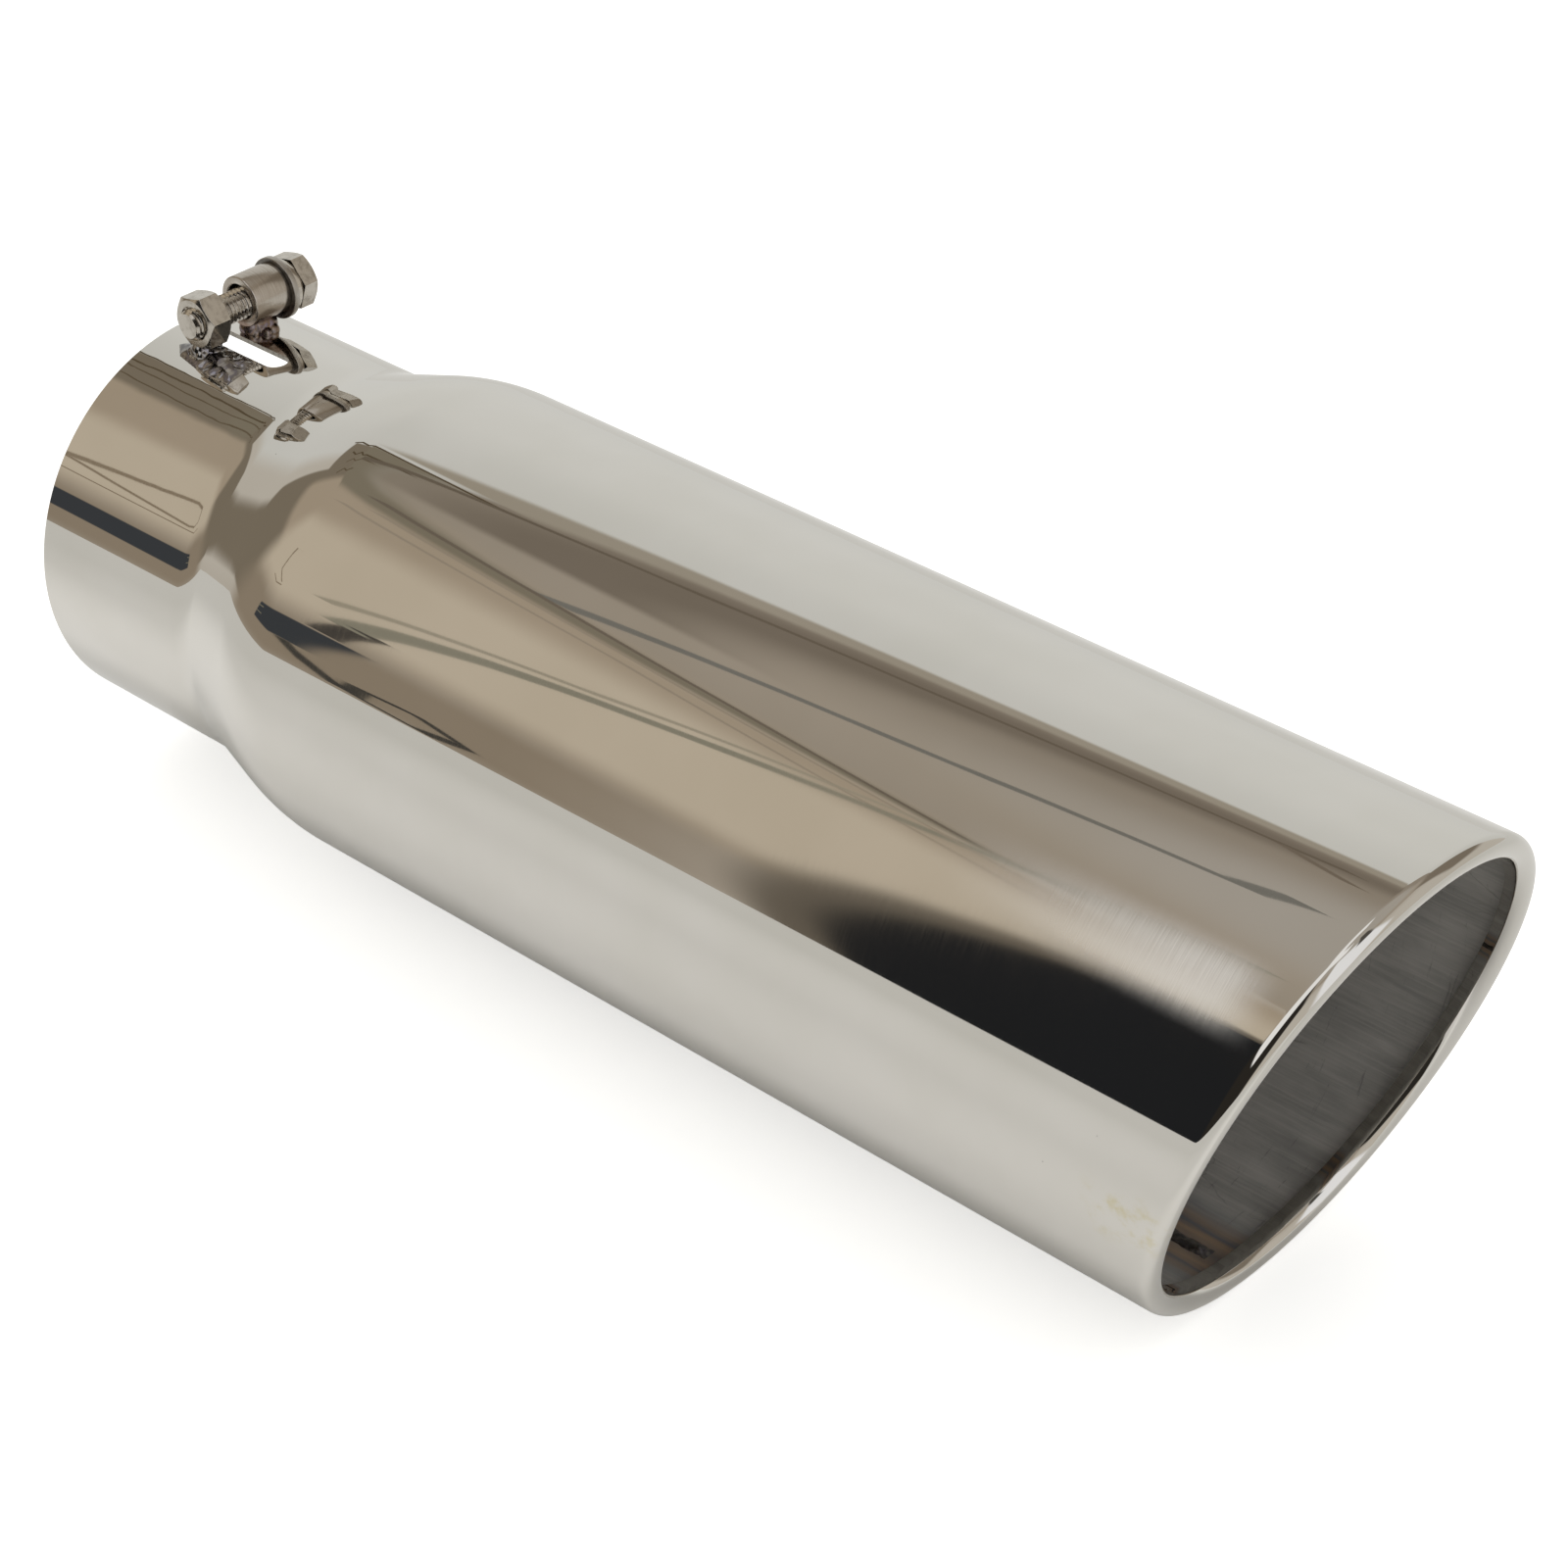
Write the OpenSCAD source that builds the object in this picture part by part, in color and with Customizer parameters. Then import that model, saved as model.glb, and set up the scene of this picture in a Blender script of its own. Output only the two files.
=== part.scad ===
// Bolt-on exhaust tip: one formed steel tube with a slotted clamp neck, a flare and a slanted, rolled outlet,
// and the bolt, washers, sleeve and nut that squeeze the neck on the tail pipe. Millimetres.
// Origin: centre of the inlet edge. +X runs along the tube to the outlet, +Z up through the clamp slot.

/* [Tube] */
// Outside diameter of the body
body_od = 152.4; // [144:0.2:165]
// Outside diameter of the clamp neck
neck_od = 131; // [126:0.5:136]
// Thickness of the sheet
wall = 1.5; // [1:0.1:2]
// Length of the straight neck, from the inlet edge to the flare
neck_len = 62; // [50:0.5:80]
// Length of the flare along the tube
flare_len = 51; // [40:0.5:80]
// Radius of the hollow bend between the neck and the flare's cone
hollow_r = 32; // [15:1:45]
// Radius of the round shoulder between the flare's cone and the body
shoulder_r = 75; // [30:1:95]
// Distance along the axis from the inlet edge to the slanted cut
cut_x = 444.3; // [250:0.1:600]
// Slant of the cut, away from square, with the long side on top
slant = 15.2; // [5:0.1:25]

/* [Rolled rim] */
// Outside radius of the rolled edge
roll_r = 3.65; // [3:0.05:5]
// Length of the straight return that ends the roll inside the tube
roll_return = 3; // [1:0.5:6]

/* [Clamp slot] */
// Width of the slot
slot_w = 8; // [6:0.5:10]
// Length of the slot, from the inlet edge to its round end
slot_len = 45; // [36:0.5:48]

/* [Clamp bolt] */
// Distance from the inlet edge to the bolt
bolt_x = 20; // [14:0.5:24]
// Height of the bolt's axis above the neck's outer surface
bolt_rise = 10.6; // [10:0.1:13]
// Outside diameter of the bolt's thread
thread_d = 9.8; // [9.6:0.05:10]
// Width of the head and of the nut across their flats
across_flats = 16; // [15:0.5:17]
// Turn of the head's and the nut's flats about the bolt
hex_turn = 12; // [0:1:30]
// Thickness of the bolt's head
head_t = 6.4; // [5:0.1:8]
// Length of thread that shows past the nut
thread_tail = 2.4; // [1:0.1:6]
// Height of the chamfer at the corners of the head and the nut
hex_chamfer = 0.95; // [0.5:0.05:1.4]

/* [Nut and sleeve] */
// Thickness of the nut
nut_t = 8.4; // [6:0.1:10]
// Gap between the slot's edge and the nut
nut_gap = 1.3; // [0.5:0.1:3]
// Gap between the slot's edge and the sleeve
sleeve_gap = 1; // [0.5:0.1:3]
// Length of the sleeve
sleeve_len = 14; // [10:0.5:20]
// Outside diameter of the sleeve
sleeve_od = 16.5; // [15:0.1:17]
// Diameter of the sleeve's hole
sleeve_id = 11.5; // [11:0.1:12]

/* [Washers] */
// Thickness of the flat washer
flat_washer_t = 2; // [1:0.1:3]
// Outside diameter of the flat washer
flat_washer_od = 20; // [18:0.5:21]
// Thickness of the split lock washer
lock_washer_t = 2.8; // [2:0.1:3.5]
// Outside diameter of the split lock washer
lock_washer_od = 17; // [16:0.5:18]
// Width of the split in the lock washer
lock_split = 1.2; // [0.8:0.1:2]

/* [Welds] */
// How far the beads swell past the gap that they fill
bead_swell = 1.8; // [1:0.1:2.5]
// Height of the seam bead on the inside of the tube
seam_h = 0.6; // [0.3:0.05:1]
// Radius of the seam bead's rounded top
seam_r = 8; // [5:0.5:12]
// Distance between the seam bead's end and the slanted cut
seam_back = 10; // [6:1:20]
// Turn of the seam about the tube, from the bottom towards the nut's side
seam_turn = 4.5; // [0:0.5:30]

/* [Hidden] */
$fn = 96;

polished = [0.80, 0.79, 0.76];
bright = [0.68, 0.66, 0.62];
washer_grey = [0.42, 0.41, 0.40];
weld_grey = [0.36, 0.34, 0.36];

body_r = body_od / 2;
neck_r = neck_od / 2;

// The flare is a hollow bend on the neck, a straight cone and a round shoulder on the body. Bends that are too
// large for the flare shrink together until they meet without a cone.
rise = body_r - neck_r;
bend_share = min(1, (pow(flare_len, 2) + pow(rise, 2)) / (2 * rise * (hollow_r + shoulder_r)));
hollow = hollow_r * bend_share;
shoulder = shoulder_r * bend_share;
bend_sum = hollow + shoulder;
cone_angle = atan2(flare_len, bend_sum - rise) - acos(min(1, bend_sum / norm([flare_len, bend_sum - rise])));
flare_end = neck_len + flare_len;
arc_steps = 12;

rim_steps = 84; // places round the rim
roll_steps = 10; // steps round the rolled edge
root = 2; // how far the rim's root runs inside the wall
inset = 0.08; // how far the root's faces lie under the wall's

// Places along the bolt, which runs along Y across the slot
bolt_z = neck_r + bolt_rise;
nut_y = -slot_w / 2 - nut_gap; // the nut's face at the slot
nut_far = nut_y - nut_t;
sleeve_y = slot_w / 2 + sleeve_gap; // the sleeve's face at the slot
flat_y = sleeve_y + sleeve_len;
lock_y = flat_y + flat_washer_t;
head_y = lock_y + lock_washer_t;
thread_end = nut_far - thread_tail;

thread_fit = 0.05; // between the thread and the nut
washer_fit = 0.35; // between the thread and the washers
sleeve_fit = 0.3; // between the thread and the sleeve where they come closest
sleeve_z = bolt_z + (sleeve_id - thread_d) / 2 - sleeve_fit; // the bolt hangs low in the sleeve
thread_tip = 0.9; // chamfer at the thread's end
edge_break = 0.4; // chamfer on the sleeve's and the flat washer's edges
split_turn = 110; // turn of the lock washer's split about the bolt
split_slant = 30; // slant of the split to the bolt's axis
nut_row = 2.5; // from the nut's ends to the middle of the last bead under it
sleeve_row = 4.8; // the same for the sleeve, far enough to keep its beads clear of the washer

// Points of an arc about c with radius r, from angle a to angle b
function arc(c, r, a, b, steps) = [for (i = [0:steps]) let (t = a + (b - a) * i / steps) c + r * [cos(t), sin(t)]];

// One side of the tube's wall as [distance from the axis, distance along it], depth under the outer surface
function wall_side(depth) = concat(
    [[neck_r - depth, 0]],
    arc([neck_r + hollow, neck_len], hollow + depth, 180, 180 - cone_angle, arc_steps),
    arc([body_r - shoulder, flare_end], shoulder - depth, -cone_angle, 0, arc_steps),
    [[body_r - depth, cut_x + body_r]]
);

function reversed(v) = [for (i = [len(v) - 1:-1:0]) v[i]];
function unit(v) = v / norm(v);

// The rim: a point on the wall's outer surface at the cut, at angle a from the top, and the two directions of
// its section, away from the axis and ahead along the wall, square to the cut
function rim_point(a) = [cut_x + body_r * cos(a) * tan(slant), body_r * sin(a), body_r * cos(a)];
function rim_away(a) = [0, sin(a), cos(a)];
function rim_ahead(a) = unit([1, sin(a) * cos(a) * tan(slant), -pow(sin(a), 2) * tan(slant)]);

// The rolled edge's section as [away, ahead]: outside of the roll, its return, the inside, and the root in the wall
roll_centre = [-roll_r - inset, 0];
rim_wall = wall - 2 * inset;
rim_section = concat(
    arc(roll_centre, roll_r, 0, 180, roll_steps),
    [for (r = [roll_r, roll_r - rim_wall]) [roll_centre[0] - r, -roll_return]],
    arc(roll_centre, roll_r - rim_wall, 180, 0, roll_steps / 2),
    [for (r = [roll_r - rim_wall, roll_r]) [roll_centre[0] + r, -root]]
);

// A shape on the bolt's axis, with its own Z along +Y from the given place
module on_bolt(y, z = bolt_z) {
    translate([bolt_x, y, z]) rotate([-90, 0, 0]) children();
}

// The space ahead of the slanted cut
module past_cut() {
    translate([cut_x, 0, 0]) rotate([0, slant, 0]) translate([0, -body_od, -2 * body_od])
        cube([4 * body_r, 2 * body_od, 4 * body_od]);
}

module tube() {
    difference() {
        rotate([0, 90, 0]) rotate_extrude() polygon(concat(wall_side(0), reversed(wall_side(wall))));
        past_cut();
    }
}

module rolled_rim() {
    n = len(rim_section);
    points = [for (i = [0:rim_steps - 1], s = rim_section) let (a = 360 * i / rim_steps)
        rim_point(a) + s[0] * rim_away(a) + s[1] * rim_ahead(a)];
    faces = [for (i = [0:rim_steps - 1], j = [0:n - 1]) let (i2 = (i + 1) % rim_steps, j2 = (j + 1) % n)
        [i2 * n + j, i2 * n + j2, i * n + j2, i * n + j]];
    polyhedron(points, faces);
}

// The slot's outline carried down through the neck's upper wall
module clamp_slot() {
    translate([0, 0, neck_r - 3 * wall]) {
        translate([-1, -slot_w / 2, 0]) cube([slot_len - slot_w / 2 + 1, slot_w, 6 * wall]);
        translate([slot_len - slot_w / 2, 0, 0]) cylinder(d = slot_w, h = 6 * wall);
    }
}

// A low bead along the bottom of the bore, sunk half-way in the wall
module seam_bead() {
    seam_len = cut_x - body_r * tan(slant) - seam_back - flare_end;
    translate([flare_end, 0, 0]) rotate([-seam_turn, 0, 0]) rotate([0, 90, 0]) intersection() {
        translate([body_r - wall - seam_h + seam_r, 0, 0]) cylinder(r = seam_r, h = seam_len);
        cylinder(r = body_r - wall / 2, h = seam_len);
    }
}

module tip_body() {
    color(polished) union() {
        difference() {
            tube();
            clamp_slot();
        }
        rolled_rim();
        seam_bead();
    }
}

// A hexagon of thickness t with its corners turned off at 30 degrees, at the low end, the high end or both
module hex_blank(t, low, high) {
    corner_r = across_flats / sqrt(3);
    face_r = corner_r - hex_chamfer / tan(30);
    reach = corner_r + 1;
    turned = (reach - face_r) * tan(30);
    intersection() {
        rotate([0, 0, -hex_turn]) cylinder(r = corner_r, h = t, $fn = 6);
        rotate_extrude() polygon(concat(
            [[0, t], [0, 0]],
            low ? [[face_r, 0], [reach, turned]] : [[reach, 0]],
            high ? [[reach, t - turned], [face_r, t]] : [[reach, t]]
        ));
    }
}

module clamp_bolt() {
    r = thread_d / 2;
    color(bright) union() {
        on_bolt(head_y) hex_blank(head_t, false, true);
        on_bolt(thread_end) rotate_extrude() polygon([
            [0, 0], [r - thread_tip, 0], [r, thread_tip], [r, head_y - thread_end], [0, head_y - thread_end]
        ]);
    }
}

module weld_nut() {
    color(bright) difference() {
        on_bolt(nut_far) hex_blank(nut_t, true, true);
        on_bolt(nut_far - 1) cylinder(d = thread_d + 2 * thread_fit, h = nut_t + 2);
    }
}

// A round ring of thickness t with its outer edges broken by c
module ring(od, id, t, c) {
    rotate_extrude() polygon([
        [id / 2, 0], [od / 2 - c, 0], [od / 2, c], [od / 2, t - c], [od / 2 - c, t], [id / 2, t]
    ]);
}

module bolt_sleeve() {
    color(bright) on_bolt(sleeve_y, sleeve_z) ring(sleeve_od, sleeve_id, sleeve_len, edge_break);
}

module flat_washer() {
    color(washer_grey) on_bolt(flat_y) ring(flat_washer_od, thread_d + 2 * washer_fit, flat_washer_t, edge_break);
}

// A spring ring with one slanted cut through it
module lock_washer() {
    color(bright) difference() {
        on_bolt(lock_y) ring(lock_washer_od, thread_d + 2 * washer_fit, lock_washer_t, edge_break / 2);
        on_bolt(lock_y + lock_washer_t / 2) rotate([0, 0, -split_turn]) rotate([split_slant, 0, 0])
            translate([0, -lock_split / 2, -lock_washer_t]) cube([lock_washer_od, lock_split, 2 * lock_washer_t]);
    }
}

// Overlapping round beads with their middles from y0 to y1, filling the gap between the neck and the lowest
// point of the piece above, at height low, less the neck and the piece itself, which is the child
module weld_row(y0, y1, low, beads) {
    difference() {
        for (i = [0:beads - 1]) {
            y = y0 + (y1 - y0) * i / (beads - 1);
            neck_z = sqrt(pow(neck_r, 2) - y * y);
            translate([bolt_x, y, (neck_z + low) / 2]) sphere(r = (low - neck_z) / 2 + bead_swell, $fn = 48);
        }
        rotate([0, 90, 0]) cylinder(r = neck_r, h = neck_len);
        children();
    }
}

module nut_weld() {
    color(weld_grey) weld_row(nut_far + nut_row, nut_y - nut_row, bolt_z - across_flats / 2, 3)
        on_bolt(nut_far) rotate([0, 0, -hex_turn]) cylinder(r = across_flats / sqrt(3), h = nut_t, $fn = 6);
}

module sleeve_weld() {
    color(weld_grey) weld_row(sleeve_y + sleeve_row, flat_y - sleeve_row, sleeve_z - sleeve_od / 2, 4)
        on_bolt(sleeve_y, sleeve_z) cylinder(d = sleeve_od, h = sleeve_len);
}

tip_body();
clamp_bolt();
weld_nut();
bolt_sleeve();
flat_washer();
lock_washer();
nut_weld();
sleeve_weld();
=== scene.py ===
import random
from math import acos, asin, atan2, cos, degrees, hypot, pi, radians, sin, sqrt, tan

import bmesh
import bpy
from mathutils import Matrix, Vector


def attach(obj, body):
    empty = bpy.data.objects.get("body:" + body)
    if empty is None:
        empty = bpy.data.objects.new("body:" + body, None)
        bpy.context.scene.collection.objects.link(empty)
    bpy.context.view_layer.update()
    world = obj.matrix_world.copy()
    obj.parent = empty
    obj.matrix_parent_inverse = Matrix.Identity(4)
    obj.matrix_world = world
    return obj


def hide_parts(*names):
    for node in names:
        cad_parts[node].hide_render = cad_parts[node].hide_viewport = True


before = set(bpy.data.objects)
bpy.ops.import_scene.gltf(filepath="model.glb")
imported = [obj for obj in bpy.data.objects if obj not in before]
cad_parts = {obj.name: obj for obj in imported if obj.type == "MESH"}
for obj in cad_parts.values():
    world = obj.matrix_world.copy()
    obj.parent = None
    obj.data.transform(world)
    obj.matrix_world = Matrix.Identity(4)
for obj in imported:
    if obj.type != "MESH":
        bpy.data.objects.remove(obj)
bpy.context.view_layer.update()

mm = 0.001


# Shared helpers

def linear(text):
    # A hex sRGB colour as linear RGBA
    parts = [int(text[i:i + 2], 16) / 255 for i in (0, 2, 4)]
    return [p / 12.92 if p <= 0.04045 else ((p + 0.055) / 1.055) ** 2.4 for p in parts] + [1]


def node(tree, kind, inputs=(), **settings):
    # Adds a node. Its inputs come in order or by name: a node or a socket is linked, any other value is set
    made = tree.nodes.new("ShaderNode" + kind)
    for key, value in settings.items():
        setattr(made, key, value)
    for key, value in inputs.items() if isinstance(inputs, dict) else enumerate(inputs):
        if isinstance(value, bpy.types.Node):
            value = value.outputs[0]
        if isinstance(value, bpy.types.NodeSocket):
            tree.links.new(value, made.inputs[key])
        else:
            made.inputs[key].default_value = value
    return made


def fades(tree, *steps):
    # Soft steps multiplied together. A step is a value, the two places between which it changes and, where
    # they aren't 0 and 1, what it changes from and to
    total = None
    for value, start, end, *ends in steps:
        low, high = ends or (0.0, 1.0)
        step = node(tree, "MapRange", [value, start, end, low, high], interpolation_type="SMOOTHSTEP")
        total = step if total is None else node(tree, "Math", [total, step], operation="MULTIPLY")
    return total


def within(along, around, spans):
    # The steps of a zone: each span fades in between its first two places and out between its last two
    steps = []
    for value, (rise, full, fall, gone) in zip((along, around), spans):
        steps += [(value, rise, full), (value, gone, fall)]
    return steps


def grain(tree, place, cells, detail, roughness, distortion=0.0):
    # Noise with so many cells per millimetre along each axis
    drawn = node(tree, "VectorMath", [place, cells], operation="MULTIPLY")
    return node(tree, "TexNoise", {"Vector": drawn, "Scale": 1.0, "Detail": detail, "Roughness": roughness,
                                   "Distortion": distortion})


def layered(tree, base, *layers):
    # Lays colours over the base in turn, each through its mask; a colour is a hex text or a pattern
    for mask, colour in layers:
        base, colour = (linear(each) if isinstance(each, str) else each for each in (base, colour))
        base = node(tree, "Mix", {0: mask, 6: base, 7: colour}, data_type="RGBA").outputs[2]
    return base


def heatColours(tree, share, stops):
    # The colours that heat leaves on steel, one after another as the share goes from 0 to 1
    ramp = node(tree, "ValToRGB", [share])
    marks = ramp.color_ramp.elements
    for position, _ in stops[1:-1]:
        marks.new(position)
    for mark, (_, colour) in zip(marks, stops):
        mark.color = linear(colour)
    return ramp


def millimetres(tree):
    # Object coordinates in millimetres
    place = node(tree, "TexCoord").outputs["Object"]
    return node(tree, "VectorMath", {0: place, "Scale": 1 / mm}, operation="SCALE")


def roundTube(tree, radius):
    # The tube unrolled into x and the arc from its top towards +Y, and then its x and its turn by themselves
    parts = node(tree, "SeparateXYZ", [millimetres(tree)]).outputs
    turn = node(tree, "Math", [parts[1], parts[2]], operation="ARCTAN2")
    arc = node(tree, "Math", [turn, radius], operation="MULTIPLY")
    return node(tree, "CombineXYZ", [parts[0], arc]), parts[0], turn


def metal(name, colour, roughness, metallic=1.0):
    made = bpy.data.materials.new(name)
    made.use_nodes = True
    shader = made.node_tree.nodes["Principled BSDF"]
    for key, value in (("Base Color", linear(colour)), ("Metallic", metallic), ("Roughness", roughness)):
        shader.inputs[key].default_value = value
    return made, made.node_tree, shader


def dress(tree, shader, height, depth, strength=1.0, **patterns):
    # Links patterns to the shader, Base_Color for its Base Color, and a relief with its depth in millimetres
    patterns["Normal"] = node(tree, "Bump", {"Height": height, "Distance": depth * mm, "Strength": strength})
    for key, value in patterns.items():
        socket = value.outputs[0] if isinstance(value, bpy.types.Node) else value
        tree.links.new(socket, shader.inputs[key.replace("_", " ")])


def finished(name, bm, materials, cadNode, smooth=40):
    # Turns a bmesh in millimetres into a piece that stands for the given CAD node
    bmesh.ops.scale(bm, vec=(mm, mm, mm), verts=bm.verts)
    mesh = bpy.data.meshes.new(name)
    bm.to_mesh(mesh)
    bm.free()
    piece = bpy.data.objects.new(name, mesh)
    bpy.context.scene.collection.objects.link(piece)
    for material in materials:
        mesh.materials.append(material)
    mesh.shade_smooth()
    mesh.set_sharp_from_angle(angle=radians(smooth))
    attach(piece, "root")
    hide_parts(cadNode)
    return piece


def modifier(piece, kind, **settings):
    made = piece.modifiers.new(kind.lower(), kind)
    for key, value in settings.items():
        setattr(made, key, value)


def edgeBreak(piece, width, angle):
    modifier(piece, "BEVEL", width=width * mm, segments=2, limit_method="ANGLE", angle_limit=radians(angle),
             harden_normals=True, use_clamp_overlap=True)


def faceOutwards(bm):
    bmesh.ops.recalc_face_normals(bm, faces=bm.faces)


def openEdges(bm):
    return [edge for edge in bm.edges if edge.is_boundary]


def revolved(bm, profile, steps, turn=2 * pi, rise=0.0, closed=False):
    # Turns a profile of (radius, height) points about the local axis Z
    verts = [bm.verts.new((r, 0, h)) for r, h in profile]
    edges = [bm.edges.new(pair) for pair in zip(verts, verts[1:] + verts[:1] if closed else verts[1:])]
    whole = abs(turn - 2 * pi) < 1e-6 and rise == 0
    bmesh.ops.spin(bm, geom=verts + edges, axis=(0, 0, 1), cent=(0, 0, 0), angle=turn, steps=steps,
                   dvec=(0, 0, rise / steps), use_merge=whole)
    bmesh.ops.remove_doubles(bm, verts=bm.verts, dist=1e-4)


def cutAway(bm, point, normal):
    # Cuts off what lies beyond a plane
    bmesh.ops.bisect_plane(bm, geom=bm.verts[:] + bm.edges[:] + bm.faces[:], dist=1e-5, plane_co=point,
                           plane_no=normal, clear_outer=True)


def sheet(columns, rows, placeOf):
    # A grid whose corners are moved to where placeOf puts each column and row
    bm = bmesh.new()
    bmesh.ops.create_grid(bm, x_segments=columns, y_segments=rows, size=0.5)
    for v in bm.verts:
        v.co = placeOf(round((v.co.x + 0.5) * columns), round((v.co.y + 0.5) * rows))
    return bm


def spread(start, end, count):
    return [start + (end - start) * i / count for i in range(count)]


# Camera, as in the photograph

cameraSettings = {
    "place": (859.07, -669.29, 611.05), "ahead": (-0.5578, 0.6148, -0.5575), "lens": 87.64, "sensor": 36,
}


def makeCamera(place, ahead, lens, sensor):
    data = bpy.data.cameras.new("camera")
    data.lens, data.sensor_width = lens, sensor
    camera = bpy.data.objects.new("camera", data)
    camera.location = Vector(place) * mm
    camera.rotation_mode = "QUATERNION"
    camera.rotation_quaternion = Vector(ahead).to_track_quat("-Z", "Y")
    bpy.context.scene.collection.objects.link(camera)
    bpy.context.scene.camera = camera


makeCamera(**cameraSettings)
print("camera done")


# Finishes. Noise cells are per millimetre. A zone on the tube is a span of x and one of its turn from the top

polishing = {
    "radius": 76.2, "colour": "DEDBD6", "warmer": "DAD7D1", "roughness": (0.016, 0.03), "drawn": 0.6,
    "lines": (3.2, 0.07, 1), "waves": (0.02, 0.05, 1), "relief": 0.015,
    "haze": [(270, 345, 436, 456), (-1.42, -1.05, -0.78, -0.66)], "hazeRoughness": 0.035, "hazeRelief": 0.012,
    "scuffs": [(345, 438, 440, 457), (-0.92, -0.78, -0.7, -0.58)], "scratches": (4.5, 0.05, 1),
    "scuffRoughness": 0.16, "scuffPaleness": 0.7,
    "dents": (0.05, 0.06, 1), "dentHeight": 4.5, "dust": "6E6A64",
    "stain": [(418, 432, 440, 452), (-1.82, -1.68, -1.6, -1.48)], "wax": "CFC59E",
}


def mirrorPolish():
    # Mirror-polished stainless sheet: a sharp image of the room, drawn out a little across the fine polishing
    # lines that run round the tube, and hazy in a patch towards the outlet
    made, tree, shader = metal("mirror polished stainless", polishing["colour"], 0.03)
    shader.inputs["Anisotropic"].default_value = polishing["drawn"]
    shader.inputs["Anisotropic Rotation"].default_value = 0.25
    place, x, turn = roundTube(tree, polishing["radius"])
    lines = grain(tree, place, polishing["lines"], 4, 0.62)
    cloud = grain(tree, place, [0.018] * 3, 3, 0.55)
    haze = fades(tree, *within(x, turn, polishing["haze"]), (cloud, 0.2, 0.6, 0.6, 1.0))
    streaks = fades(tree, (lines, 0.3, 0.75, 0.7, 1.0))
    hazeRoughness = node(tree, "Math", [streaks, polishing["hazeRoughness"]], operation="MULTIPLY")
    plain = fades(tree, (lines, 0.3, 0.8, *polishing["roughness"]))
    roughness = node(tree, "Math", [haze, hazeRoughness, plain], operation="MULTIPLY_ADD")
    # Scratches from the last polishing wheel scatter light near the outlet, more and more towards it
    scratches = grain(tree, place, polishing["scratches"], 4, 0.65)
    scuffs = fades(tree, *within(x, turn, polishing["scuffs"]), (scratches, 0.25, 0.8, 0.6, 1.0))
    roughness = node(tree, "Math", [scuffs, polishing["scuffRoughness"], roughness], operation="MULTIPLY_ADD")
    metallic = node(tree, "Math", [scuffs, -polishing["scuffPaleness"], 1.0], operation="MULTIPLY_ADD")
    # The sheet's own waves, the lines in the hazy patch, and the dents that welding left beside the slot
    height = grain(tree, place, polishing["waves"], 1, 0.4)
    hazeRelief = node(tree, "Math", [haze, polishing["hazeRelief"]], operation="MULTIPLY")
    height = node(tree, "Math", [lines, hazeRelief, height], operation="MULTIPLY_ADD")
    near = fades(tree, (x, 66, 50, 0.0, polishing["dentHeight"]), (turn, -1.0, -0.5))
    dents = grain(tree, place, polishing["dents"], 2, 0.45)
    height = node(tree, "Math", [dents, near, height], operation="MULTIPLY_ADD")
    # Specks of dust, and a faint yellow stain of polishing wax low on the outlet's -Y side
    specks = node(tree, "TexVoronoi", {"Vector": place, "Scale": 0.055}, feature="F1")
    patches = grain(tree, place, [0.16] * 3, 4, 0.6)
    colour = layered(
        tree, polishing["colour"],
        (fades(tree, (cloud, 0.3, 0.7)), polishing["warmer"]),
        (fades(tree, (specks, 0.012, 0.007)), polishing["dust"]),
        (fades(tree, *within(x, turn, polishing["stain"]), (patches, 0.45, 0.8)), polishing["wax"]))
    tangent = node(tree, "Tangent", direction_type="RADIAL", axis="X")
    dress(tree, shader, height, polishing["relief"], Base_Color=colour, Roughness=roughness,
          Metallic=metallic, Tangent=tangent)
    return made


rolling = {
    "radius": 74.7, "relief": 0.03,
    "colours": ("9B9995", "B6B3AE"), "paleGrain": "CBC8C2", "darkMarks": "6E6C6A", "hair": "6E6B67",
    "grain": (0.03, 0.9, 1), "mottle": (0.03, 0.08, 1), "marks": (0.5, 0.05, 1), "hairs": (0.012, 0.03, 1),
    "tintTurn": radians(4.5), "tintWidth": 26, "tintDrift": 5,
    "tint": [(0, "6A6360"), (0.22, "A4876A"), (0.36, "63646A"), (0.5, "97806A"), (0.72, "85868A"),
             (1, "A9A7A3")],
}


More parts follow.
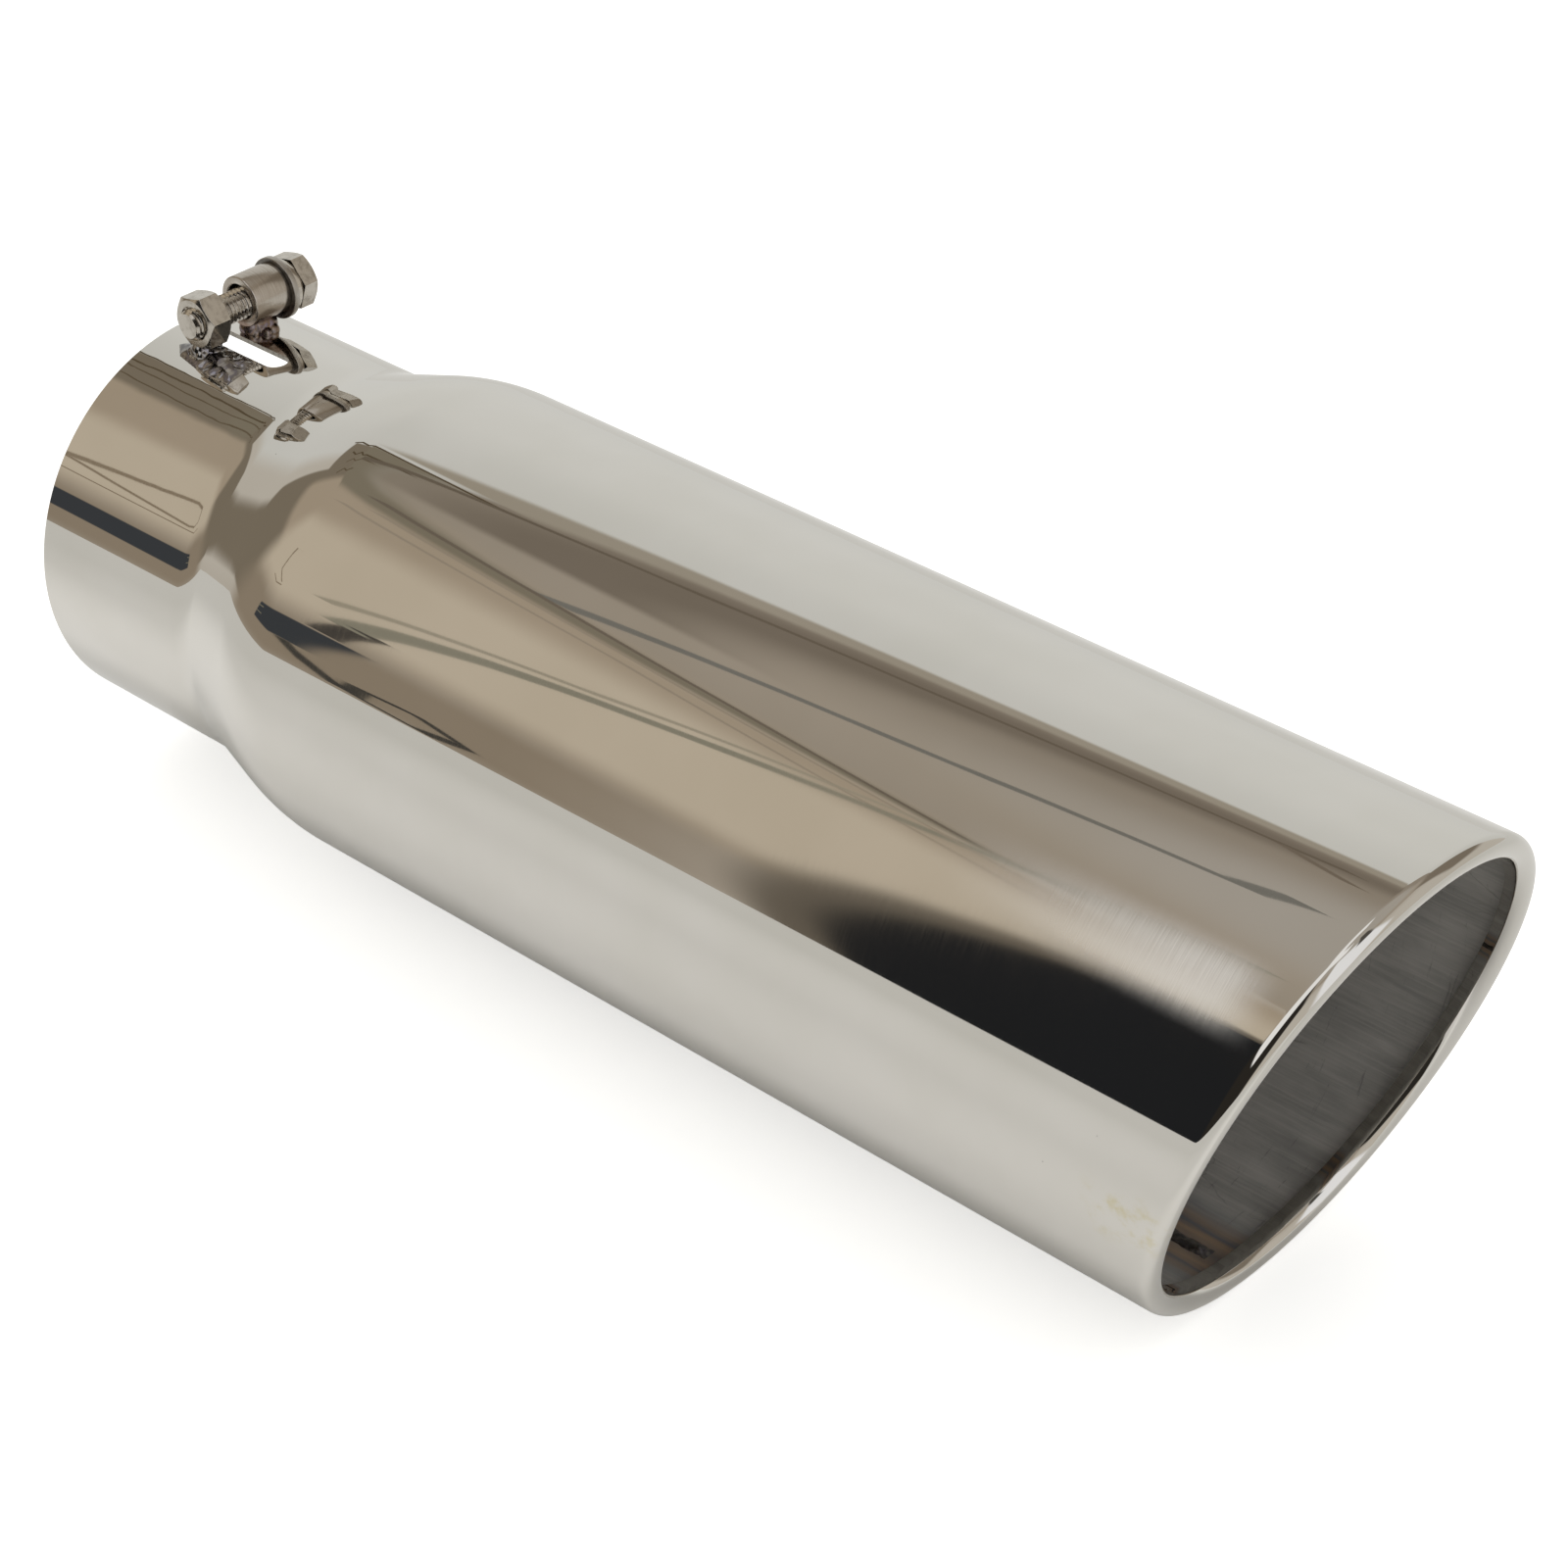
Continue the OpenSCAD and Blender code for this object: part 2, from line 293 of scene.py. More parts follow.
def millFinish():
    # Unpolished inside of the sheet: dull grey with rolling marks, scratches and the seam's heat tint
    made, tree, shader = metal("mill finish stainless", "A9A7A3", 0.45, metallic=0.35)
    place, _, turn = roundTube(tree, rolling["radius"])
    streaks = grain(tree, place, rolling["grain"], 5, 0.65)
    mottle = grain(tree, place, rolling["mottle"], 5, 0.6)
    marks = grain(tree, place, rolling["marks"], 6, 0.8, 1.2)
    # Long thin scratches, each seen for a part of its way only
    drawn = node(tree, "VectorMath", [place, rolling["hairs"]], operation="MULTIPLY")
    sway = node(tree, "CombineXYZ", [node(tree, "Math", [mottle, 0.25], operation="MULTIPLY")])
    bent = node(tree, "VectorMath", [drawn, sway], operation="ADD")
    hairs = node(tree, "TexVoronoi", {"Vector": bent, "Scale": 1.6}, feature="DISTANCE_TO_EDGE")
    seen = grain(tree, place, [0.03] * 3, 3, 0.5)
    # Stripes of brown and blue spread from the seam's line, which is a little to -Y of the bottom
    offLine = node(tree, "Math", [turn, rolling["tintTurn"]], operation="SUBTRACT")
    away = node(tree, "Math", [offLine, pi / 2], operation="PINGPONG")
    drift = node(tree, "Math", [grain(tree, place, (0.05, 0.4, 1), 3, 0.5), rolling["tintDrift"]],
                 operation="MULTIPLY")
    away = node(tree, "Math", [away, rolling["radius"], drift], operation="MULTIPLY_ADD")
    tint = heatColours(tree, fades(tree, (away, 0, rolling["tintWidth"])), rolling["tint"])
    dark, pale = rolling["colours"]
    colour = layered(
        tree, dark,
        (fades(tree, (mottle, 0.3, 0.7)), pale),
        (fades(tree, (streaks, 0.4, 0.7, 0.0, 0.45)), rolling["paleGrain"]),
        (fades(tree, (marks, 0.6, 0.66, 0.0, 0.5)), rolling["darkMarks"]),
        (fades(tree, (hairs, 0.006, 0.001, 0.0, 0.4), (seen, 0.5, 0.58)), rolling["hair"]),
        (fades(tree, (away, rolling["tintWidth"], 9, 0.0, 0.8)), tint))
    height = node(tree, "Math", [marks, 0.35], operation="MULTIPLY")
    height = node(tree, "Math", [streaks, 0.5, height], operation="MULTIPLY_ADD")
    dress(tree, shader, height, rolling["relief"], 0.8, Base_Color=colour,
          Roughness=fades(tree, (mottle, 0.25, 0.75, 0.38, 0.54)))
    return made


def cutEdge():
    # Sheared and deburred edge of the sheet: greyer and duller than the polish
    made, tree, shader = metal("sheared steel edge", "A8A49D", 0.32)
    marks = grain(tree, millimetres(tree), [1.4] * 3, 4, 0.7)
    dress(tree, shader, marks, 0.05, 0.5,
          Base_Color=layered(tree, "8C8780", (fades(tree, (marks, 0.35, 0.7)), "BDB9B1")),
          Roughness=fades(tree, (marks, 0.3, 0.7, 0.22, 0.42)))
    return made


def brightSteel(name, colour, worn, roughness):
    # Bright cold-formed stainless: near a mirror, with faint tool marks and duller worn spots
    made, tree, shader = metal(name, colour, roughness)
    place = millimetres(tree)
    marks = grain(tree, place, (0.5, 2.2, 0.5), 4, 0.6)
    spots = grain(tree, place, [0.35] * 3, 4, 0.6)
    height = node(tree, "Math", [marks, 0.4, spots], operation="MULTIPLY_ADD")
    dress(tree, shader, height, 0.01, 0.5,
          Base_Color=layered(tree, colour, (fades(tree, (spots, 0.45, 0.75)), worn)),
          Roughness=fades(tree, (spots, 0.25, 0.75, roughness * 0.75, roughness * 1.5)))
    return made


def turnedSteel():
    # Satin turned sleeve: tool lines round it and a brown tint from the welding heat near its foot
    made, tree, shader = metal("turned steel sleeve", "C6BFB6", 0.2)
    place = millimetres(tree)
    z = node(tree, "SeparateXYZ", [place]).outputs[2]
    lines = grain(tree, place, (0.1, 5.0, 0.1), 3, 0.6)
    spots = grain(tree, place, [0.3] * 3, 4, 0.6)
    colour = layered(
        tree, "C6BFB6",
        (fades(tree, (lines, 0.3, 0.7)), "B3AAA0"),
        (fades(tree, (z, 76, 69), (spots, 0.2, 0.7, 0.5, 1.0)), "7C6457"))
    dress(tree, shader, lines, 0.006, 0.6, Base_Color=colour,
          Roughness=fades(tree, (lines, 0.3, 0.7, 0.16, 0.26)))
    return made


def washerSteel():
    # Plain washer: dull dark faces, and its punched rim paler
    made, tree, shader = metal("dull washer steel", "6A6764", 0.36)
    place = millimetres(tree)
    x, _, z = node(tree, "SeparateXYZ", [place]).outputs
    across = node(tree, "CombineXYZ", {0: x, 2: z})
    middle = (bolt["x"], 0, bolt["z"])
    away = node(tree, "VectorMath", [across, middle], operation="DISTANCE").outputs["Value"]
    spots = grain(tree, place, [0.5] * 3, 4, 0.65)
    colour = layered(
        tree, "5F5C59",
        (fades(tree, (spots, 0.3, 0.7)), "817D78"),
        (fades(tree, (away, flatWasher["outer"] / 2 - 0.4, flatWasher["outer"] / 2 - 0.1)), "B4AFA8"))
    dress(tree, shader, spots, 0.02, 0.6, Base_Color=colour,
          Roughness=fades(tree, (spots, 0.3, 0.7, 0.26, 0.4)))
    return made


def weldMetal(name, colours, roughness, ripple, depth):
    # Weld bead: rippled metal in the colours of its heat tint
    made, tree, shader = metal(name, colours[1], roughness[0])
    place = millimetres(tree)
    lumps = grain(tree, place, [0.3] * 3, 2, 0.5)
    ripples = grain(tree, place, [ripple] * 3, 3, 0.5)
    stops = [(i / (len(colours) - 1), colour) for i, colour in enumerate(colours)]
    dress(tree, shader, ripples, depth, 0.8,
          Base_Color=heatColours(tree, fades(tree, (lumps, 0.28, 0.74)), stops),
          Roughness=fades(tree, (ripples, 0.3, 0.7, *roughness)))
    return made


# Clamp hardware, along the bolt

bolt = {
    "x": 20.0, "z": 76.1, "threadD": 9.8, "rootD": 8.2, "pitch": 1.5, "end": -16.1, "threadStop": 19.0,
    "head": 23.8, "headT": 6.4, "tip": 0.9, "face": 0.4, "faceR": 7.4, "plainGap": 0.25, "edge": 0.18,
}
hexes = {"flats": 16.0, "turn": radians(12), "chamfer": 0.95, "steps": 96}
nut = {"low": -13.7, "thick": 8.4, "bore": 9.9, "lead": 0.7}
sleeve = {"low": 5.0, "long": 14.0, "outer": 16.5, "inner": 11.5, "z": 76.65, "edge": 0.4}
flatWasher = {"low": 19.0, "long": 2.0, "outer": 20.0, "inner": 10.5, "z": 76.1, "edge": 0.22}
lockWasher = {
    "low": 21.0, "thick": 2.8, "band": 2.3, "outer": 17.0, "inner": 10.5, "split": 1.2, "turn": radians(-110),
    "slant": radians(30), "edge": 0.2,
}

polish, mill, sheared = mirrorPolish(), millFinish(), cutEdge()
boltSteel = brightSteel("bright bolt steel", "CAC4BB", "AAA399", 0.13)
sleeveSteel, darkSteel = turnedSteel(), washerSteel()
brightTint = ["7C7A7B", "A8A5A2", "8F8B88", "84818A", "B9B5B0"]
strongTint = ["6F656A", "8F8580", "84715F", "7A6F79", "958B82"]
brightWeld = weldMetal("bright weld bead", brightTint, (0.05, 0.14), 0.4, 0.05)
tintedWeld = weldMetal("heat tinted weld bead", strongTint, (0.2, 0.32), 0.5, 0.03)
print("finishes done")


# Tube

tube = {
    "neckR": 65.5, "bodyR": 76.2, "wall": 1.5, "neckLen": 62.0,
    "flareLen": 51.0, "hollowR": 32.0, "shoulderR": 75.0,
    "cutX": 444.3, "slant": radians(15.2), "rollR": 3.65, "rollReturn": 3.0, "rollSteps": 24,
    "slotHalf": 4.0, "slotLen": 45.0, "slotCells": 3, "slotEase": 2.2, "edge": 0.14,
}
bendSum = tube["hollowR"] + tube["shoulderR"]
drop = bendSum - tube["bodyR"] + tube["neckR"]
coneAngle = atan2(tube["flareLen"], drop) - acos(bendSum / hypot(tube["flareLen"], drop))
flareEnd = tube["neckLen"] + tube["flareLen"]
coneStart = tube["neckLen"] + tube["hollowR"] * sin(coneAngle)
coneEnd = flareEnd - tube["shoulderR"] * sin(coneAngle)


def skinRadius(x):
    # Outer radius of the tube: neck, hollow bend, cone, round shoulder, body
    if x <= tube["neckLen"]:
        return tube["neckR"]
    if x <= coneStart:
        return tube["neckR"] + tube["hollowR"] - sqrt(tube["hollowR"] ** 2 - (x - tube["neckLen"]) ** 2)
    if x >= flareEnd:
        return tube["bodyR"]
    if x >= coneEnd:
        return tube["bodyR"] - tube["shoulderR"] + sqrt(tube["shoulderR"] ** 2 - (flareEnd - x) ** 2)
    return skinRadius(coneStart) + (x - coneStart) * tan(coneAngle)


def skinPlaces():
    # Places of the rings along the tube, close together at the slot's round end and on the flare
    cell = tube["slotHalf"] / tube["slotCells"]
    slotStart = tube["slotLen"] - 6 * cell
    slotEnd = slotStart + 11 * cell
    lastRings = [tube["cutX"] - 0.5, tube["cutX"]]
    return ([0, 0.5] + spread(2, slotStart, 14) + spread(slotStart, slotEnd, 11)
            + spread(slotEnd, tube["neckLen"], 5) + spread(tube["neckLen"], coneStart, 16)
            + spread(coneStart, coneEnd, 5) + spread(coneEnd, flareEnd, 20)
            + spread(flareEnd, lastRings[0], 26) + lastRings)


def roundOffSlot(bm):
    # Bends the grid round the slot's end from a square into a half circle, easing out over the next cells
    middle, half = tube["slotLen"] - tube["slotHalf"], tube["slotHalf"]
    reach = tube["slotEase"] * half
    for v in bm.verts:
        u, w = v.co.x - middle, v.co.y
        size = max(abs(u), abs(w))
        if v.co.z < 0 or u <= 0 or size > reach or size < 1e-3:
            continue
        ease = min(1, max(0, (reach - size) / (reach - half)))
        shrink = 1 + ease * ease * (3 - 2 * ease) * (size / hypot(u, w) - 1)
        x, y = middle + u * shrink, w * shrink
        v.co = (x, y, sqrt(skinRadius(x) ** 2 - y ** 2))


def openSlot(bm):
    # Takes out the faces of the slot, which is a whole number of cells wide
    middle, half = tube["slotLen"] - tube["slotHalf"], tube["slotHalf"]
    inside = []
    for face in bm.faces:
        c = face.calc_center_median()
        straight = c.x < middle and abs(c.y) < half
        if c.z > 0 and (straight or hypot(c.x - middle, c.y) < half):
            inside.append(face)
    bmesh.ops.delete(bm, geom=inside, context="FACES")


def leanRings(bm):
    # Leans the body's rings more and more, so the last one lies in the slanted cut
    for v in bm.verts:
        share = min(1, max(0, (v.co.x - flareEnd) / (tube["cutX"] - flareEnd)))
        v.co.x += share * v.co.z * tan(tube["slant"])


def rollRim(bm):
    # Carries the edge at the cut round the rolled rim and on to its return inside the tube
    turn = bm.verts.layers.float.new("turn")
    rim = [v for v in bm.verts if abs(v.co.x - tube["cutX"]) < 0.01]
    for v in rim:
        v[turn] = atan2(v.co.y, v.co.z)
    edges = [edge for edge in openEdges(bm) if edge.verts[0] in rim and edge.verts[1] in rim]
    leanRings(bm)
    slope, rollR, bodyR = tan(tube["slant"]), tube["rollR"], tube["bodyR"]
    rolled = [pi * i / tube["rollSteps"] for i in range(1, tube["rollSteps"] + 1)]
    section = [(rollR * (cos(t) - 1), rollR * sin(t)) for t in rolled]
    section += [(-2 * rollR, -tube["rollReturn"] * s) for s in (0.12, 0.5, 1)]
    for away, ahead in section:
        made = bmesh.ops.extrude_edge_only(bm, edges=edges)["geom"]
        edges = [edge for edge in made if isinstance(edge, bmesh.types.BMEdge) and edge.is_boundary]
        for v in (v for v in made if isinstance(v, bmesh.types.BMVert)):
            a = v[turn]
            point = Vector((tube["cutX"] + bodyR * cos(a) * slope, bodyR * sin(a), bodyR * cos(a)))
            forward = Vector((1, sin(a) * cos(a) * slope, -sin(a) ** 2 * slope)).normalized()
            v.co = point + away * Vector((0, sin(a), cos(a))) + ahead * forward


def makeTipBody():
    bm = bmesh.new()
    steps = round(tube["slotCells"] * 360 / degrees(asin(tube["slotHalf"] / tube["neckR"])))
    chain = [bm.verts.new((x, 0, skinRadius(x))) for x in skinPlaces()]
    edges = [bm.edges.new(pair) for pair in zip(chain, chain[1:])]
    bmesh.ops.spin(bm, geom=chain + edges, axis=(1, 0, 0), cent=(0, 0, 0), angle=2 * pi, steps=steps,
                   use_merge=True)
    bmesh.ops.remove_doubles(bm, verts=bm.verts, dist=1e-4)
    roundOffSlot(bm)
    openSlot(bm)
    rollRim(bm)
    faceOutwards(bm)
    if max(bm.faces, key=lambda f: f.calc_center_median().z).normal.z < 0:
        bmesh.ops.reverse_faces(bm, faces=bm.faces)
    piece = finished("tipBody", bm, [polish, mill, sheared], "tip_body")
    modifier(piece, "SOLIDIFY", thickness=tube["wall"] * mm, offset=-1, use_even_offset=False,
             material_offset=1, material_offset_rim=2)
    edgeBreak(piece, tube["edge"], 60)


makeTipBody()
print("tube done")


# Seam on the inside

seam = {
    "turn": radians(-175.5), "start": flareEnd, "end": 413.6, "half": 3.0, "height": 0.55, "cell": 1.0,
    "rows": 12, "pitch": 2.1, "ripple": 0.28, "wobble": 0.08, "fade": 3, "sunk": 0.25, "seed": 4,
    "lump": 409.7, "lumpHalf": 2.6, "lumpHeight": 0.9,
}


def makeSeam():
    # A low bead with overlapping ripples on the inside of the tube, ending in a lump near the outlet
    innerR = tube["bodyR"] - tube["wall"]
    start, end, pitch = seam["start"], seam["end"], seam["pitch"]
    columns = int((end - start) / seam["cell"])
    rng = random.Random(seam["seed"])
    widths = [seam["half"] * (1 + seam["wobble"] * rng.uniform(-1, 1)) for _ in range(columns + 1)]

    def placeOf(column, row):
        x = start + (end - start) * column / columns
        s = 2 * row / seam["rows"] - 1
        crest = max(0, 1 - s * s)
        ripple = 1 - seam["ripple"] * ((x / pitch + 0.9 * abs(s)) % 1)
        ends = max(0, min(1, (x - start) / seam["fade"], (end - x) / seam["fade"]))
        lump = seam["lumpHeight"] * max(0, 1 - ((x - seam["lump"]) / seam["lumpHalf"]) ** 2)
        height = crest * (seam["height"] * ripple * ends + lump) - (seam["sunk"] if abs(s) == 1 else 0)
        a = seam["turn"] + s * widths[column] * (0.9 + 0.1 * sin(x * 0.9)) / innerR
        return x, (innerR - height) * sin(a), (innerR - height) * cos(a)

    bm = sheet(columns, seam["rows"], placeOf)
    faceOutwards(bm)
    finished("seamWeld", bm, [brightWeld], "tip_body", smooth=60)


makeSeam()
print("seam done")


# Bolt, nut, sleeve and washers

def ontoBolt(bm, y, z=bolt["z"]):
    # Stands a shape that was made along local Z on the bolt, running along +Y from y
    place = Matrix.Translation((bolt["x"], y, z)) @ Matrix.Rotation(-pi / 2, 4, "X")
    bmesh.ops.transform(bm, matrix=place, verts=bm.verts)


def ringProfile(size, length):
    # Half the section of a ring, a closed rectangle with its corners rounded
    inner, outer, radius, segments = size["inner"] / 2, size["outer"] / 2, size["edge"], 3
    points = [Vector(point) for point in ((inner, 0), (outer, 0), (outer, length), (inner, length))]
    made = []
    for i, here in enumerate(points):
        one = (points[i - 1] - here).normalized()
        two = (points[(i + 1) % 4] - here).normalized()
        centre = here + (one + two) * radius
        for k in range(segments + 1):
            spot = (here + one * radius).lerp(here + two * radius, k / segments) - centre
            made.append(tuple(centre + spot.normalized() * radius))
    return made


def hexagon(bm, profile, closed):
    # Turns the profile and cuts it to a hexagon
    revolved(bm, profile, hexes["steps"], closed=closed)
    faceOutwards(bm)
    for i in range(6):
        a = pi / 6 + i * pi / 3 - hexes["turn"]
        away = Vector((cos(a), sin(a), 0))
        cutAway(bm, away * hexes["flats"] / 2, away)
        bmesh.ops.holes_fill(bm, edges=openEdges(bm))
    bmesh.ops.remove_doubles(bm, verts=bm.verts, dist=1e-4)
    faceOutwards(bm)


def chamferLine(length, chamferLow, chamferHigh):
    # Outer line of a hexagon blank before its flats are cut, from its low end to its high end
    corner = hexes["flats"] / sqrt(3)
    faceR = corner - hexes["chamfer"] / tan(pi / 6)
    reach = corner + 1
    turned = (reach - faceR) * tan(pi / 6)
    low = [(faceR, 0), (reach, turned)] if chamferLow else [(reach, 0)]
    high = [(reach, length - turned), (faceR, length)] if chamferHigh else [(reach, length)]
    return low + high


def makeShank():
    # The threaded rod along local Z: a ridge wound up past both ends, cut off there, with a chamfered tip
    bm = bmesh.new()
    rodR, rootR, pitch = bolt["threadD"] / 2, bolt["rootD"] / 2, bolt["pitch"]
    length = bolt["threadStop"] - bolt["end"]
    turns = int(length / pitch) + 1
    ridge = [(rootR, 0), (rootR, pitch * 0.14), (rodR - 0.03, pitch * 0.5), (rodR, pitch * 0.56),
             (rodR - 0.03, pitch * 0.62), (rootR, pitch)]
    revolved(bm, ridge, 48 * turns, turn=2 * pi * turns, rise=pitch * turns)
    for height, outwards in ((pitch, -1), (length, 1)):
        cutAway(bm, (0, 0, height), (0, 0, outwards))
    bmesh.ops.translate(bm, vec=(0, 0, -pitch), verts=bm.verts)
    bmesh.ops.holes_fill(bm, edges=openEdges(bm))
    for v in bm.verts:
        most = rodR - bolt["tip"] + v.co.z
        across = hypot(v.co.x, v.co.y)
        if across > most > 0:
            v.co.x, v.co.y = v.co.x * most / across, v.co.y * most / across
    ontoBolt(bm, bolt["end"])
    return bm


def makePlainShank():
    # The unthreaded end of the rod, in the washers
    bm = bmesh.new()
    radius = bolt["threadD"] / 2 - bolt["plainGap"]
    revolved(bm, [(radius, 0), (radius, bolt["head"] - bolt["threadStop"] + bolt["pitch"])], 48)
    ontoBolt(bm, bolt["threadStop"] - bolt["pitch"])
    return bm


def makeBolt():
    bm = bmesh.new()
    top, face = bolt["headT"] - bolt["face"], bolt["face"]
    washerFace = [(0, -face), (bolt["faceR"], -face), (bolt["faceR"], 0)]
    hexagon(bm, washerFace + chamferLine(top, False, True) + [(0, top)], False)
    ontoBolt(bm, bolt["head"] + face)
    for part in (makeShank(), makePlainShank()):
        faceOutwards(part)
        joined = bpy.data.meshes.new("boltPart")
        part.to_mesh(joined)
        part.free()
        bm.from_mesh(joined)
    piece = finished("clampBolt", bm, [boltSteel], "clamp_bolt", smooth=28)
    edgeBreak(piece, bolt["edge"], 50)


def makeNut():
    bm = bmesh.new()
    t, r, c = nut["thick"], nut["bore"] / 2, nut["lead"]
    hexagon(bm, [(r, c), (r + c, 0)] + chamferLine(t, True, True) + [(r + c, t), (r, t - c)], True)
    ontoBolt(bm, nut["low"])
    piece = finished("weldNut", bm, [boltSteel], "weld_nut", smooth=28)
    edgeBreak(piece, bolt["edge"], 50)


def makeRing(name, size, material, cadNode):
    bm = bmesh.new()
    revolved(bm, ringProfile(size, size["long"]), 96, closed=True)
    faceOutwards(bm)
    ontoBolt(bm, size["low"], size["z"])
    finished(name, bm, [material], cadNode, smooth=50)


def makeLockWasher():
    # A square band wound once with a little rise, cut through at a slant
    bm = bmesh.new()
    outer, thick = lockWasher["outer"] / 2, lockWasher["thick"]
    gap = lockWasher["split"] / outer
    revolved(bm, ringProfile(lockWasher, lockWasher["band"]), 84, turn=2 * pi - gap,
             rise=thick - lockWasher["band"], closed=True)
    bmesh.ops.holes_fill(bm, edges=openEdges(bm))
    for v in bm.verts:
        lean = (v.co.z - thick / 2) * tan(lockWasher["slant"]) / outer
        v.co = Matrix.Rotation(lean + lockWasher["turn"] + gap / 2, 3, "Z") @ v.co
    faceOutwards(bm)
    ontoBolt(bm, lockWasher["low"])
    finished("lockWasher", bm, [boltSteel], "lock_washer", smooth=50)


makeBolt()
makeNut()
makeRing("boltSleeve", sleeve, sleeveSteel, "bolt_sleeve")
makeRing("flatWasher", flatWasher, darkSteel, "flat_washer")
makeLockWasher()
print("hardware done")


# Foot of the nut's weld, which ran out flat over the neck

splash = {
    "from": (8.5, -18.6), "to": (40.5, -4.15), "cell": 0.33, "sunk": 0.5, "thin": 0.35, "edge": 0.9,
    "outline": [(9.6, -11.7), (14, -15.4), (22.5, -17), (30, -18), (38.6, -17.4), (38.4, -11), (36.9, -5.2),
                (30, -4.3), (22, -4.2), (13.5, -6.8)],
    # Mounds: x, y, radius and height. They flow together by powers, as a sum would pile them too high
    "mounds": [(20, -10, 7.5, 2.3), (14.5, -11, 4.5, 1.3), (26, -10.5, 5.5, 1.6), (31, -11.5, 5, 1.2),
               (35.3, -13.2, 4, 1.1), (34.2, -8, 3.6, 1.0), (23, -14, 3, 1.1), (29, -15, 3, 0.9),
               (12.2, -11.6, 2.8, 0.9), (17.5, -7, 3, 1.5), (37.4, -14.6, 1.3, 1.3), (33.6, -15.9, 1.3, 1.2),
               (31.8, -5.4, 1.2, 1.0), (26.5, -6.4, 3, 0.9)],
    "power": 2.5,
    # Drops besides, strewn in a box
    "drops": 6, "seed": 12,
    "dropX": (11, 38), "dropY": (-16, -5), "dropR": (1.0, 2.0), "dropHeight": (0.8, 1.3),
}


def makeSplash():
    rng = random.Random(splash["seed"])
    mounds = list(splash["mounds"])
    for _ in range(splash["drops"]):
        mounds.append([rng.uniform(*splash[key]) for key in ("dropX", "dropY", "dropR", "dropHeight")])
    (x0, y0), (x1, y1) = splash["from"], splash["to"]
    columns, rows = round((x1 - x0) / splash["cell"]), round((y1 - y0) / splash["cell"])
    outline, power = splash["outline"], splash["power"]
    sides = list(zip(outline, outline[1:] + outline[:1]))

    def placeOf(column, row):
        x, y = x0 + (x1 - x0) * column / columns, y0 + (y1 - y0) * row / rows
        inside = min(((bx - ax) * (y - ay) - (by - ay) * (x - ax)) / hypot(bx - ax, by - ay)
                     for (ax, ay), (bx, by) in sides)
        piles = [max(0, h * (1 - ((x - mx) ** 2 + (y - my) ** 2) / r ** 2)) for mx, my, r, h in mounds]
        height = -splash["sunk"]
        if inside > 0:
            pile = sum(p ** power for p in piles) ** (1 / power)
            height = min(splash["thin"] + pile, sqrt(inside) * splash["edge"])
        turn = asin(y / tube["neckR"])
        return x, (tube["neckR"] + height) * sin(turn), (tube["neckR"] + height) * cos(turn)

    bm = sheet(columns, rows, placeOf)
    faceOutwards(bm)
    finished("weldSplash", bm, [brightWeld], "tip_body", smooth=180)


# Weld beads: drops as x, y, z and radius, and a ring of small spots where the foot meets the neck

welds = {
    "voxel": 0.25, "smooth": 12, "sunk": 0.4,
    "nut": {
        "drops": [(20, -11.4, 66.2, 3.5), (20, -9.5, 66.3, 3.6), (20, -7.6, 66.4, 3.5),
                  (16.6, -9.6, 65.2, 2.6), (23.6, -9.4, 65.3, 2.7), (21.8, -12.9, 65.4, 2.2),
                  (17.6, -12.6, 65.2, 2.3), (24.8, -6.8, 65.5, 1.8)],
        "spots": 22, "spotR": (0.6, 1.3), "reach": (5.6, 4.6), "seed": 3,
    },
    "sleeve": {
        "drops": [(20, 8.2, 66.7, 3.4), (20, 10.3, 66.5, 3.7), (20, 12.5, 66.2, 3.9),
                  (20, 14.3, 66.0, 4.1), (23.2, 14.4, 64.6, 2.4)],
        "spots": 6, "spotR": (1.2, 1.7), "reach": (3.7, 4.2), "seed": 8,
    },
}


def makeWeld(name, size, material, cadNode):
    # Drops of weld metal flowed together
    bm = bmesh.new()
    rng = random.Random(size["seed"])
    drops = [(Vector(drop[:3]), drop[3]) for drop in size["drops"]]
    middle = sum((place for place, _ in drops), Vector()) / len(drops)
    for i in range(size["spots"]):
        a = 2 * pi * (i + rng.uniform(-0.3, 0.3)) / size["spots"]
        radius = rng.uniform(*size["spotR"])
        x, y = middle.x + size["reach"][0] * cos(a), middle.y + size["reach"][1] * sin(a)
        drops.append((Vector((x, y, sqrt(tube["neckR"] ** 2 - y * y) + 0.25 * radius)), radius))
    for place, radius in drops:
        bmesh.ops.create_icosphere(bm, subdivisions=3, radius=radius, matrix=Matrix.Translation(place))
    piece = finished(name, bm, [material], cadNode, smooth=180)
    modifier(piece, "REMESH", mode="VOXEL", voxel_size=welds["voxel"] * mm, use_smooth_shade=True)
    modifier(piece, "SMOOTH", factor=0.5, iterations=welds["smooth"])
    # The result becomes the mesh, and what would reach through the neck is drawn back into its wall
    flowed = bpy.data.meshes.new_from_object(piece.evaluated_get(bpy.context.evaluated_depsgraph_get()))
    piece.modifiers.clear()
    piece.data = flowed
    floor = (tube["neckR"] - welds["sunk"]) * mm
    for v in flowed.vertices:
        across = hypot(v.co.y, v.co.z)
        if across < floor:
            v.co.y, v.co.z = v.co.y * floor / across, v.co.z * floor / across


makeSplash()
makeWeld("nutWeld", welds["nut"], brightWeld, "nut_weld")
makeWeld("sleeveWeld", welds["sleeve"], tintedWeld, "sleeve_weld")
print("welds done")


# Studio: a white table, and round it a dome and thin beams that only reflections see

